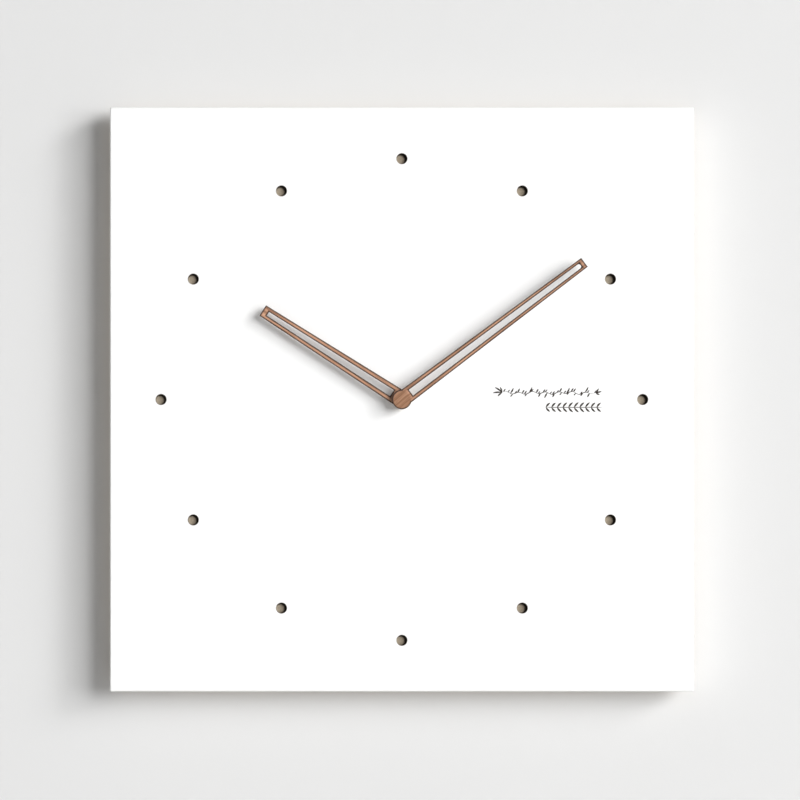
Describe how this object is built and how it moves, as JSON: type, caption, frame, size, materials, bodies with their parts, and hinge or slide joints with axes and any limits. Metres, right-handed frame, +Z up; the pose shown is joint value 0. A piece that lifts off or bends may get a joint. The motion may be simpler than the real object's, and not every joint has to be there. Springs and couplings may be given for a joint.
{
  "type": "wall clock",
  "caption": "Square white wall clock with round recessed hour marks, open-frame wooden hands and a battery quartz movement behind.",
  "frame": {"origin": "centre of the nail hole in the hanger's tab, behind the panel and above the movement", "axes": "+Z up, +Y into the wall along the nail, so the clock's face looks along -Y and +X is to the right as seen from the front"},
  "size_m": [0.3, 0.0293, 0.3],
  "materials": {
    "white_lacquer": "smooth satin white lacquer on fibreboard, thinner at the cut edges",
    "raw_board": "raw medium-density fibreboard, fine matt fibres",
    "walnut": "oiled walnut with laser-darkened edges, grain along each hand",
    "foot_rubber": "matt black moulded rubber",
    "gasket_rubber": "matt black sheet rubber",
    "plated_steel": "zinc-plated sheet steel",
    "brass": "turned brass, slightly dulled",
    "black_plastic": "black moulded plastic with a fine spark texture",
    "knob_plastic": "dark grey moulded plastic",
    "natural_acetal": "milky natural acetal",
    "plate_plastic": "off-white moulded plastic",
    "magnet": "dark sintered magnet",
    "soft_iron": "annealed nickel-iron sheet",
    "copper_wire": "fine enamelled copper winding",
    "board_laminate": "green solder-masked laminate",
    "black_resin": "glossy black potting resin",
    "bright_can": "drawn bright metal can",
    "nickel_spring": "nickel-plated spring strip",
    "battery_metal": "nickel-plated can, smooth",
    "battery_sleeve": "glossy shrink sleeve with a plain coloured band"
  },
  "bodies": {
    "clock_body": {"front_panel": "white_lacquer", "backing_board": "raw_board", "bumper_feet": "foot_rubber", "wall_hanger": "plated_steel", "rubber_gasket": "gasket_rubber", "threaded_bushing": "brass", "brass_washer": "brass", "hex_nut": "brass", "movement_case": "black_plastic", "movement_cover": "black_plastic", "middle_plate": "plate_plastic", "stator": "soft_iron", "coil_core": "soft_iron", "coil_bobbin": "plate_plastic", "coil_winding": "copper_wire", "circuit_board": "board_laminate", "chip_blob": "black_resin", "crystal_can": "bright_can", "positive_contact": "nickel_spring", "negative_contact": "nickel_spring"},
    "minute_hand": {"minute_hand": "walnut", "minute_hand_bush": "brass", "minute_arbor": "plated_steel", "clutch_spring": "nickel_spring"},
    "hour_hand": {"hour_hand": "walnut", "hour_hand_bush": "brass", "hour_wheel": "natural_acetal"},
    "minute_wheel": {"minute_wheel": "natural_acetal"},
    "setting_knob": {"setting_knob": "knob_plastic", "setting_gear": "natural_acetal"},
    "rotor": {"rotor_pinion": "natural_acetal", "rotor_magnet": "magnet"},
    "intermediate_wheel": {"intermediate_wheel": "natural_acetal"},
    "seconds_wheel": {"seconds_wheel": "natural_acetal"},
    "third_wheel": {"third_wheel": "natural_acetal"},
    "centre_wheel": {"centre_wheel": "natural_acetal"},
    "battery": {"battery_can": "battery_metal", "battery_sleeve": "battery_sleeve"}
  },
  "joints": [
    {"name": "minute_hand_turn", "type": "hinge", "parent": "clock_body", "child": "minute_hand", "pos_m": [0, -0.0179, -0.0375], "axis": [0, 1, 0], "continuous": true},
    {"name": "hour_hand_turn", "type": "hinge", "parent": "clock_body", "child": "hour_hand", "pos_m": [0, -0.0179, -0.0375], "axis": [0, 1, 0], "continuous": true},
    {"name": "minute_wheel_turn", "type": "hinge", "parent": "clock_body", "child": "minute_wheel", "pos_m": [-0.00688, -0.01, -0.02767], "axis": [0, 1, 0], "continuous": true},
    {"name": "setting_knob_turn", "type": "hinge", "parent": "clock_body", "child": "setting_knob", "pos_m": [-0.01727, 0.0011, -0.02167], "axis": [0, 1, 0], "continuous": true},
    {"name": "rotor_turn", "type": "hinge", "parent": "clock_body", "child": "rotor", "pos_m": [0.00837, -0.0019, -0.0243], "axis": [0, 1, 0], "continuous": true},
    {"name": "intermediate_wheel_turn", "type": "hinge", "parent": "clock_body", "child": "intermediate_wheel", "pos_m": [0.00328, -0.0029, -0.02939], "axis": [0, 1, 0], "continuous": true},
    {"name": "seconds_wheel_turn", "type": "hinge", "parent": "clock_body", "child": "seconds_wheel", "pos_m": [0, -0.0041, -0.0375], "axis": [0, 1, 0], "continuous": true},
    {"name": "third_wheel_turn", "type": "hinge", "parent": "clock_body", "child": "third_wheel", "pos_m": [0.009, -0.0055, -0.0375], "axis": [0, 1, 0], "continuous": true},
    {"name": "centre_wheel_turn", "type": "hinge", "parent": "clock_body", "child": "centre_wheel", "pos_m": [0, -0.0072, -0.0375], "axis": [0, 1, 0], "continuous": true},
    {"name": "battery_slide", "type": "slide", "parent": "clock_body", "child": "battery", "axis": [0, 1, 0], "range_m": [0, 0.03]}
  ],
  "couplings": [
    {"joint": "hour_hand_turn", "follows": "minute_hand_turn", "ratio": 0.083333},
    {"joint": "minute_wheel_turn", "follows": "minute_hand_turn", "ratio": -0.33333},
    {"joint": "setting_knob_turn", "follows": "minute_hand_turn", "ratio": 1},
    {"joint": "intermediate_wheel_turn", "follows": "rotor_turn", "ratio": -0.2},
    {"joint": "seconds_wheel_turn", "follows": "rotor_turn", "ratio": 0.033333},
    {"joint": "third_wheel_turn", "follows": "rotor_turn", "ratio": -0.0044444},
    {"joint": "centre_wheel_turn", "follows": "rotor_turn", "ratio": 0.00055556}
  ]
}
